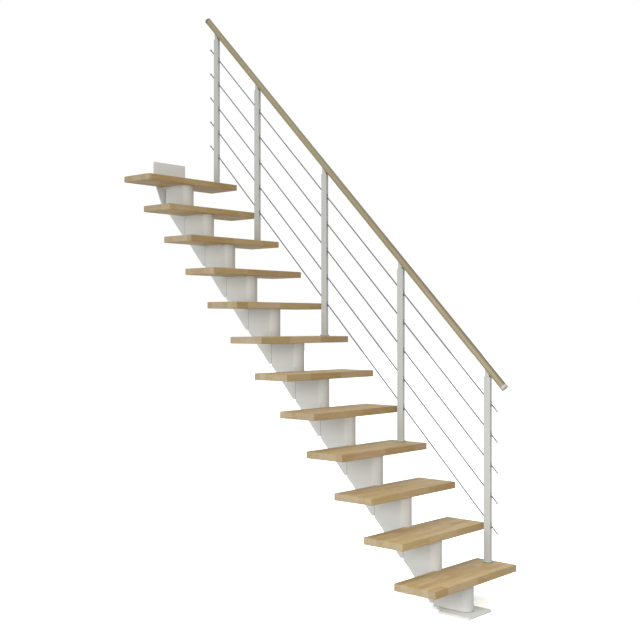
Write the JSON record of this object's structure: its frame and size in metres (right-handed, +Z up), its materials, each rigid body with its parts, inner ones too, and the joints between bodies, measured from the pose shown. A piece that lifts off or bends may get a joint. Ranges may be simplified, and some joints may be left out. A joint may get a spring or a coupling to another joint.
{
  "type": "mono stringer staircase",
  "caption": "Straight open-riser stair with a central steel stringer of stacked modules, wooden treads and a one-sided railing of flat posts, thin rods and a round wooden handrail.",
  "frame": {"origin": "centre of the floor plate's underside", "axes": "+X to the right of a person climbing, +Y along the flight in the direction of climbing, +Z up"},
  "size_m": [0.8, 2.577, 3.8059],
  "materials": {
    "white_steel": "smooth white powder coat",
    "post_steel": "smooth white powder coat",
    "bracket_steel": "satin grey",
    "rod_steel": "brushed stainless",
    "cap_plastic": "matt grey",
    "rail_cap_metal": "satin",
    "tread_wood": "lacquered glued hardwood staves",
    "rail_wood": "lacquered hardwood"
  },
  "bodies": {
    "root": {"floor_plate": "white_steel", "stringer_module_01": "white_steel", "stringer_module_02": "white_steel", "stringer_module_03": "white_steel", "stringer_module_04": "white_steel", "stringer_module_05": "white_steel", "stringer_module_06": "white_steel", "stringer_module_07": "white_steel", "stringer_module_08": "white_steel", "stringer_module_09": "white_steel", "stringer_module_10": "white_steel", "stringer_module_11": "white_steel", "stringer_module_12": "white_steel", "tread_01": "tread_wood", "tread_02": "tread_wood", "tread_03": "tread_wood", "tread_04": "tread_wood", "tread_05": "tread_wood", "tread_06": "tread_wood", "tread_07": "tread_wood", "tread_08": "tread_wood", "tread_09": "tread_wood", "tread_10": "tread_wood", "tread_11": "tread_wood", "tread_12": "tread_wood", "wall_plate": "white_steel", "post_1": "post_steel", "post_2": "post_steel", "post_3": "post_steel", "post_4": "post_steel", "post_5": "post_steel", "rod_1": "rod_steel", "rod_2": "rod_steel", "rod_3": "rod_steel", "rod_4": "rod_steel", "rod_5": "rod_steel", "rod_end_caps": "cap_plastic", "handrail": "rail_wood", "handrail_caps": "rail_cap_metal", "rail_brackets": "bracket_steel"}
  },
  "joints": []
}
